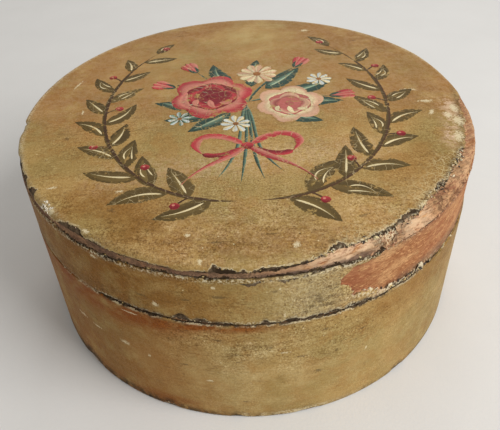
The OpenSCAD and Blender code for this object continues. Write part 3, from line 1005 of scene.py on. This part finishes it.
# Flower picture
# A bunch of flowers tied with a ribbon between two leafy branches, laid on the lid in oil
# colours with single strokes of a round brush. The paint stands a hair above the face.
crimson = srgb(176, 58, 62)
deep_crimson = srgb(126, 36, 42)
rose_pink = srgb(204, 130, 110)
old_rose = srgb(170, 92, 84)
dusty_pink = srgb(208, 162, 130)
cream = srgb(224, 206, 160)
grey_green = srgb(112, 138, 116)
pale_green = srgb(170, 184, 150)
dark_green = srgb(50, 72, 62)
dark_olive = srgb(94, 76, 42)
mid_olive = srgb(112, 92, 50)
umber = srgb(80, 56, 38)
sky_white = srgb(200, 206, 200)
heart_brown = srgb(150, 98, 50)
split_pale = srgb(206, 184, 138)
brush = np.random.default_rng(7)


def bend(points, count):
    """Points along a smooth curve from the first point to the last, pulled by those between."""
    share = np.linspace(0, 1, count)[:, None]
    lines = [np.asarray(point, float) + 0 * share for point in points]
    while len(lines) > 1:
        lines = [a * (1 - share) + b * share for a, b in zip(lines, lines[1:])]
    return lines[0]


def comma(share):
    """Width along a stroke with a round head and a thin tail."""
    head = np.clip(share / 0.25, 0, 1)
    return np.sqrt(head * (2 - head)) * (1 - 0.9 * ramp(share, 0.2, 1.0))


def blade(share):
    """Width along a pointed leaf."""
    return np.sin(np.pi * share**0.8) ** 0.85 * 0.98 + 0.02


def line(share):
    """Width along a drawn line."""
    return np.minimum(1, np.minimum(share / 0.08, (1 - share) / 0.2)) * 0.95 + 0.05


def disc(share):
    """Width across a round dab."""
    return np.sqrt(np.clip(1 - (2 * share - 1) ** 2, 0.002, 1))


def stroke(bunch, points, width, form, colour, second=None, level=1):
    """One stroke of the brush, domed across, loaded with one colour or with two side by side."""
    length = sum(math.dist(a, b) for a, b in zip(points, points[1:]))
    count, lanes = max(9, round(length / 0.8)), 9
    middle = bend(points, count)
    along = np.gradient(middle, axis=0)
    along = along / np.linalg.norm(along, axis=1, keepdims=True)
    side = np.stack([-along[:, 1], along[:, 0]], 1)
    share = np.linspace(0, 1, count)
    wobble = 1 + 0.07 * np.convolve(brush.uniform(-1, 1, count + 4), np.ones(5) / 2.2, "valid")
    across = np.sin(np.linspace(-math.pi / 2, math.pi / 2, lanes))
    spread = (width / 2 * form(share) * wobble)[:, None] * across
    x = middle[:, :1] + side[:, :1] * spread
    y = middle[:, 1:] + side[:, 1:] * spread
    lift = np.where(np.abs(across) > 0.99, -0.02, 0.012 * level + 0.012 * (1 - across**2))
    first = len(bunch["places"])
    bunch["places"].extend(np.stack([x, y, lid_surface(x, y) + lift], -1).reshape(-1, 3) * mm)
    mixed = ramp(across + brush.normal(0, 0.2), -0.5, 0.6)[:, None] if second else np.zeros((lanes, 1))
    streak = 1 + 0.1 * brush.normal(0, 1, lanes)
    tone = (1 - 0.12 * share)[:, None, None] * streak[None, :, None] * brush.normal(1, 0.06)
    both = np.array(colour[:3]) * (1 - mixed) + np.array((second or colour)[:3]) * mixed
    shades = np.clip(both[None] * tone, 0, 1).reshape(-1, 3)
    bunch["shades"].extend(np.hstack([shades, np.ones((len(shades), 1))]))
    bunch["edges"].extend(np.tile(np.abs(across), count))
    at, lane = np.meshgrid(np.arange(count - 1) * lanes, np.arange(lanes), indexing="ij")
    beside = (lane + 1) % lanes
    quads = np.stack([at + lane, at + beside, at + lanes + beside, at + lanes + lane], -1)
    ends = np.array([[0], [(count - 1) * lanes]]) + np.arange(lanes)
    for faces in (quads.reshape(-1, 4), ends):
        bunch["faces"].extend((first + faces).tolist())


def polar(x, y, angle, reach):
    """The point at an angle in degrees and a distance from another."""
    return (x + reach * math.cos(math.radians(angle)), y + reach * math.sin(math.radians(angle)))


def new_bunch():
    """An empty list of strokes."""
    return {"places": [], "faces": [], "shades": [], "edges": []}


def laid_on(name, bunch, finish):
    """The strokes of one motif as a piece on the lid."""
    shape = bpy.data.meshes.new(name)
    shape.from_pydata([tuple(p) for p in bunch["places"]], [], bunch["faces"])
    kept = shape.color_attributes.new("shade", "FLOAT_COLOR", "POINT")
    kept.data.foreach_set("color", np.array(bunch["shades"], np.float32).ravel())
    kept = shape.attributes.new("edge", "FLOAT", "POINT")
    kept.data.foreach_set("value", np.array(bunch["edges"], np.float32))
    facing = bmesh.new()
    facing.from_mesh(shape)
    bmesh.ops.recalc_face_normals(facing, faces=facing.faces)
    facing.to_mesh(shape)
    facing.free()
    shape.shade_smooth()
    shape.materials.append(finish)
    piece = bpy.data.objects.new(name, shape)
    bpy.context.collection.objects.link(piece)
    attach(piece, "lid")


picture_finish, place = new_finish("picture_paint")
lid_paint, _ = aged(place, along_lid, paint_coat(place), 0.7)
colour, grit = aged(place, along_lid, field(place, "shade", "Color"), 0.45)
bald = between(blotches(place, 5.0, 5, 0.65), 0.5, 0.68)
worn = number("MULTIPLY_ADD", bald, 0.16, blotches(place, 1.1, 5, 0.75))
worn = number("MULTIPLY_ADD", number("POWER", field(place, "edge"), 4.0), 0.2, worn)
split = times(cracks(place, 3.2, 0.12), between(blotches(place, 14, 2), 0.4, 0.55))
colour = layered(colour, (lid_paint, between(worn, 0.62, 0.74), 0.9), (split_pale, split, 0.5))
surface = number("MULTIPLY_ADD", split, -0.8, grit)
sheen = number("MULTIPLY_ADD", worn, 0.3, 0.34)
complete(picture_finish, colour, surface, relief=0.12, roughness=sheen, gloss=0.08)


def leaf(bunch, x, y, angle, length, width, dark, light, vein):
    """A pointed leaf: a dark blade with a lighter half, and on most a vein or a pair of touches."""
    def part(share):
        """A point along the leaf's middle."""
        return polar(x, y, angle, share * length)

    bow = polar(*part(0.5), angle + 90, brush.uniform(-0.2, 0.2) * length)
    stroke(bunch, [(x, y), bow, part(1)], width, blade, dark, level=1)
    start = polar(*part(0.12), angle + 90, 0.16 * width)
    over = polar(*bow, angle + 90, 0.2 * width)
    stroke(bunch, [start, over, part(0.9)], 0.45 * width, blade, light, dark, level=2)
    if brush.uniform() < 0.6:
        stroke(bunch, [part(0.12), bow, part(0.85)], 0.7, comma, vein, level=3)
    else:
        for lean in (-0.16, 0.16):
            start = polar(*part(0.3), angle + 90, lean * width)
            over = polar(*bow, angle + 90, 1.6 * lean * width)
            stroke(bunch, [start, over, part(0.75)], 0.5, comma, vein, level=3)


def dab(bunch, x, y, size, colour, second=None, level=5):
    """A round touch of the brush."""
    stroke(bunch, [(x - size / 2, y), (x + size / 2, y)], size, disc, colour, second, level)


stem_points = 121
leaf_spacing = 7
tip_leaf = 16
branches = new_bunch()
for side in (-1, 1):
    stem = [(side * 3, -43), (side * 36, -43), (side * 55, 4), (side * 29, 38)]
    stroke(branches, stem, 1.3, line, umber, dark_olive, level=2)
    way = bend(stem, stem_points)
    for leaf_no, at in enumerate(range(8, stem_points, leaf_spacing)):
        x, y = way[at]
        ahead = math.degrees(math.atan2(*(way[min(at + 1, stem_points - 1)] - way[at - 1])[::-1]))
        small = leaf_no / tip_leaf
        lean = (1 if leaf_no % 2 else -1) * side if leaf_no < tip_leaf else 0
        angle = ahead + lean * (42 + brush.uniform(-9, 9))
        length, width = 15 - 5 * small + brush.uniform(-1.2, 1.2), 6.4 - 2.2 * small
        leaf(branches, x, y, angle, length, width, dark_olive, mid_olive, cream)
        if leaf_no % 3 == 1:
            berry = polar(x, y, ahead - lean * 62, 4.5)
            stalk = [(x, y), polar(x, y, ahead - lean * 50, 2.5), berry]
            stroke(branches, stalk, 0.6, line, umber, level=2)
            dab(branches, *berry, 2.6, deep_crimson, crimson, level=4)
            dab(branches, berry[0] - 0.3, berry[1] + 0.4, 0.8, rose_pink, level=5)
laid_on("leafy_branches", branches, picture_finish)

bouquet = (1, 3)
buds = ((-25, 15, 155), (-17, 26, 122), (18, 27, 62), (29, 5, 8))
foliage = new_bunch()
for angle, reach, length in (
    (200, 8, 18), (172, 9, 19), (146, 8, 17), (116, 10, 17), (84, 9, 18), (54, 9, 17), (24, 10, 19),
    (-8, 10, 18), (-34, 8, 16), (226, 8, 15),
):
    foot = polar(*bouquet, angle, reach)
    leaf(foliage, *foot, angle + brush.uniform(-8, 8), length, 6.4, dark_green, grey_green, pale_green)
for x, y, angle in buds:
    base = polar(x, y, angle + 180, 4)
    stalk = [bouquet, polar(*bouquet, angle + 12, 12), base]
    stroke(foliage, stalk, 0.9, line, dark_green, grey_green, level=1)
for foot, bow in (((-8, -34), (-3, -14)), ((-2, -36), (0, -15)), ((4, -35), (2, -14)), ((9, -32), (4, -14))):
    stroke(foliage, [(0, 2), bow, (0, -20), foot], 1.0, line, dark_green, grey_green, level=2)
laid_on("flower_leaves", foliage, picture_finish)


def rose(bunch, x, y, size, deep, middle, light):
    """A full rose: a dark round, petals curling round it and a lit cup."""
    def petal(from_angle, from_reach, angle, reach, to_angle, to_reach):
        """Three points that a petal curls through, by angle and reach from the rose's middle."""
        places = ((from_angle, from_reach), (angle, reach), (to_angle, to_reach))
        return [polar(x, y, at, out * size) for at, out in places]

    dab(bunch, x, y, 2 * size, deep, level=3)
    for angle in range(20, 380, 60):
        curl = petal(angle - 42, 0.78, angle, brush.uniform(1.2, 1.42), angle + 42, 0.78)
        stroke(bunch, curl, 0.52 * size, blade, middle, light, level=4)
    for angle in range(0, 360, 90):
        curl = petal(angle - 55, 0.45, angle, 0.85, angle + 55, 0.45)
        stroke(bunch, curl, 0.34 * size, blade, middle, deep, level=5)
    for angle, reach in ((220, 0.42), (320, 0.42), (270, 0.2)):
        curl = petal(angle - 20, reach, angle, 0.75, angle + 20, 0.6)
        stroke(bunch, curl, 0.2 * size, comma, light, level=6)
    dab(bunch, x, y, 0.32 * size, deep, level=6)


def daisy(bunch, x, y, size, petals, colour, second, heart):
    """A flower of comma strokes drawn in towards its heart."""
    for angle in np.linspace(0, 360, petals, endpoint=False) + brush.uniform(0, 20):
        outer = polar(x, y, angle + brush.uniform(-4, 4), size * brush.uniform(0.88, 1.08))
        petal = [outer, polar(x, y, angle + 6, 0.5 * size), (x, y)]
        stroke(bunch, petal, 0.42 * size, comma, colour, second, level=5)
    dab(bunch, x, y, 0.4 * size, heart, level=7)


flowers = new_bunch()
rose(flowers, -10, 7, 10.5, deep_crimson, crimson, rose_pink)
rose(flowers, 13, 1, 8.5, old_rose, dusty_pink, cream)
daisy(flowers, 4, 20, 6.5, 11, cream, dusty_pink, heart_brown)
daisy(flowers, -3, -9, 4.4, 9, sky_white, cream, heart_brown)
daisy(flowers, 23, 15, 4.2, 9, sky_white, cream, heart_brown)
daisy(flowers, -19, -5, 3.6, 8, sky_white, grey_green, heart_brown)
for x, y, angle in buds:
    base = polar(x, y, angle + 180, 4)
    for lean in (-24, 24, 0):
        petal = [polar(x, y, angle + lean, 4), polar(*base, angle + lean, 3), base]
        stroke(flowers, petal, 2.8, comma, crimson, rose_pink, level=5)
    for lean in (-40, 40):
        sepal = [base, polar(*base, angle + lean, 2), polar(*base, angle + 0.4 * lean, 4.5)]
        stroke(flowers, sepal, 1.1, blade, dark_green, level=6)
laid_on("flower_heads", flowers, picture_finish)

ribbon = new_bunch()
for side in (-1, 1):
    knot, fold = (side * 0.6, -20), (side * 12, -23)
    loop = [knot, (side * 9, -10), (side * 18, -16), fold]
    tail = [knot, (side * 4, -26), (side * 12, -27), (side * 17, -36)]
    stroke(ribbon, loop, 2.6, line, crimson, rose_pink, level=4)
    stroke(ribbon, [fold, (side * 7, -26), knot], 2.1, line, deep_crimson, crimson, level=3)
    stroke(ribbon, tail, 2.4, comma, crimson, rose_pink, level=4)
dab(ribbon, 0, -20, 3.4, deep_crimson, crimson, level=6)
laid_on("ribbon_bow", ribbon, picture_finish)


# Loose flakes
# Curled scales of paint and splinters of the broken board, which still hang along the worn
# edges of the lid. Each is a thin, uneven plate.
chance = np.random.default_rng(19)
flake_tones = [srgb(*tone) for tone in (
    (228, 214, 180), (216, 198, 152), (196, 168, 108), (206, 172, 138), (150, 112, 72), (66, 56, 48),
    (66, 56, 48))]
splinter_tones = [srgb(*tone) for tone in ((198, 148, 108), (172, 116, 80), (216, 178, 142), (136, 88, 62))]
dark_flake = srgb(64, 50, 42)
pale_flake = srgb(226, 210, 176)
white_flake = srgb(238, 228, 206)
grit_brown = srgb(92, 70, 48)
half_thick = 0.06


def flake(bunch, at, out, size, tone=None):
    """A thin uneven scale at a point, tilted off the surface that faces out."""
    corners = chance.integers(5, 8)
    angles = np.linspace(0, 2 * math.pi, corners, endpoint=False) + chance.uniform(-0.35, 0.35, corners)
    reach = size * chance.uniform(0.45, 1.0, corners)
    lifted = np.array(out) + 0.4 * chance.normal(0, 1, 3)
    lifted = lifted / np.linalg.norm(lifted)
    across = np.cross(lifted, chance.normal(0, 1, 3))
    across = across / np.linalg.norm(across)
    along = np.cross(lifted, across)
    ways = np.cos(angles)[:, None] * along + 0.6 * np.sin(angles)[:, None] * across
    edge = np.array(at) + reach[:, None] * ways
    both = np.vstack([edge + half_thick * lifted, edge - half_thick * lifted])
    far = np.hypot(both[:, 0], both[:, 1])
    both[:, :2] *= np.minimum(1, (box_r - 0.03) / far)[:, None]
    both[:, 2] = np.clip(both[:, 2], seam_z + 0.1, lid_top_z - 0.05)
    first = len(bunch["places"])
    tone = tone or flake_tones[chance.integers(len(flake_tones))]
    tone = np.array(tone) * chance.uniform(0.8, 1.1)
    bunch["places"].extend(both * mm)
    bunch["shades"].extend(np.tile(np.clip(tone, 0, 1), (2 * corners, 1)))
    bunch["edges"].extend(np.zeros(2 * corners))
    ring = np.arange(corners)
    beside = (ring + 1) % corners
    sides = np.stack([ring, corners + ring, corners + beside, beside], -1)
    for faces in (ring[None], corners + ring[None, ::-1], sides):
        bunch["faces"].extend((first + faces).tolist())


def on_lid_edge(at, inward):
    """Point and outward direction on the lid board, by azimuth and way in from its rounded edge's foot."""
    angle = min(max(inward / edge_round, 0), math.pi / 2)
    r = crown_half + edge_round * math.cos(angle) - max(inward - edge_round * math.pi / 2, 0)
    z = round_foot_z + min(inward, 0) + edge_round * math.sin(angle)
    lean, way = math.cos(angle), math.radians(at)
    out = np.array((lean * math.cos(way), lean * math.sin(way), math.sin(angle)))
    return np.array((r * math.cos(way), r * math.sin(way), z)) - 0.3 * out, out


def on_lid_side(at, z):
    """Point and outward direction on the lid's hoop."""
    out = np.array((math.cos(math.radians(at)), math.sin(math.radians(at)), 0.0))
    return (box_r - 0.25) * out + (0, 0, z), out


loose = new_bunch()
for _ in range(46):
    middle = chance.uniform(-80, -22)
    for _ in range(chance.integers(1, 8)):
        at = middle + chance.normal(0, 0.9)
        inward = np.interp(at, azimuth, paint_end) + chance.normal(0.1, 0.5)
        flake(loose, *on_lid_edge(at, inward), 0.16 + chance.exponential(0.16))
for _ in range(60):
    at = chance.uniform(-150, -85)
    inward = np.interp(at, azimuth, paint_end + black_rim) + chance.normal(0, 0.3)
    flake(loose, *on_lid_edge(at, inward), chance.uniform(0.12, 0.35))
for _ in range(60):
    at, z = chance.uniform(-130, -62), lid_joint_z - 0.7 + chance.normal(0, 0.35)
    flake(loose, *on_lid_side(at, z), chance.uniform(0.12, 0.4))
for _ in range(16):
    middle = chance.uniform(-71, -46)
    for _ in range(chance.integers(2, 7)):
        at = middle + chance.normal(0, 0.8)
        z = np.interp(at, azimuth, torn_foot) - 0.6 + chance.normal(0, 0.4)
        flake(loose, *on_lid_side(at, z), 0.25 + chance.exponential(0.3))
for _ in range(90):
    at, z = chance.uniform(-66, -20), lid_joint_z + chance.normal(0.1, 0.4)
    size = 0.2 + chance.exponential(0.22)
    flake(loose, *on_lid_side(at, z), size, splinter_tones[chance.integers(len(splinter_tones))])
for _ in range(60):
    at, z = chance.uniform(-122, -45), seam_z + 0.5 + abs(chance.normal(0, 0.4))
    flake(loose, *on_lid_side(at, z), chance.uniform(0.12, 0.4))
for _ in range(26):
    point, out = on_lid_edge(chance.uniform(-142, -138.4), chance.uniform(0.3, 2.8))
    flake(loose, point + 0.2 * out, out, chance.uniform(0.3, 0.65), white_flake)
dark_scales = (
    (-60.6, 0.2, 0.9), (-57, 0.4, 0.8), (-54.2, 0.2, 1.0), (-53, 0.4, 0.7), (-48.4, 0.2, 0.9),
    (-62, 0.1, 0.7))
pale_scales = (
    (-59.5, 0.3, 1.3), (-58.4, 0.5, 1.0), (-55.6, 0.3, 1.2), (-52.2, 0.2, 0.9), (-50.8, 0.5, 1.9),
    (-49.6, 0.6, 1.6), (-46, 0.3, 0.7), (-63.5, 0.1, 0.9), (-65, 0.2, 1.2))
for tone, scales in ((dark_flake, dark_scales), (pale_flake, pale_scales)):
    for at, up, size in scales:
        flake(loose, *on_lid_side(at, np.interp(at, azimuth, torn_foot) + up), size, tone)
flake_finish, place = new_finish("flake_paint")
grit = blotches(place, 0.5, 3, 0.7)
colour = layered(field(place, "shade", "Color"), (grit_brown, between(grit, 0.5, 0.65), 0.45))
complete(flake_finish, colour, grit, relief=0.1, roughness=0.75)
laid_on("paint_flakes", loose, flake_finish)
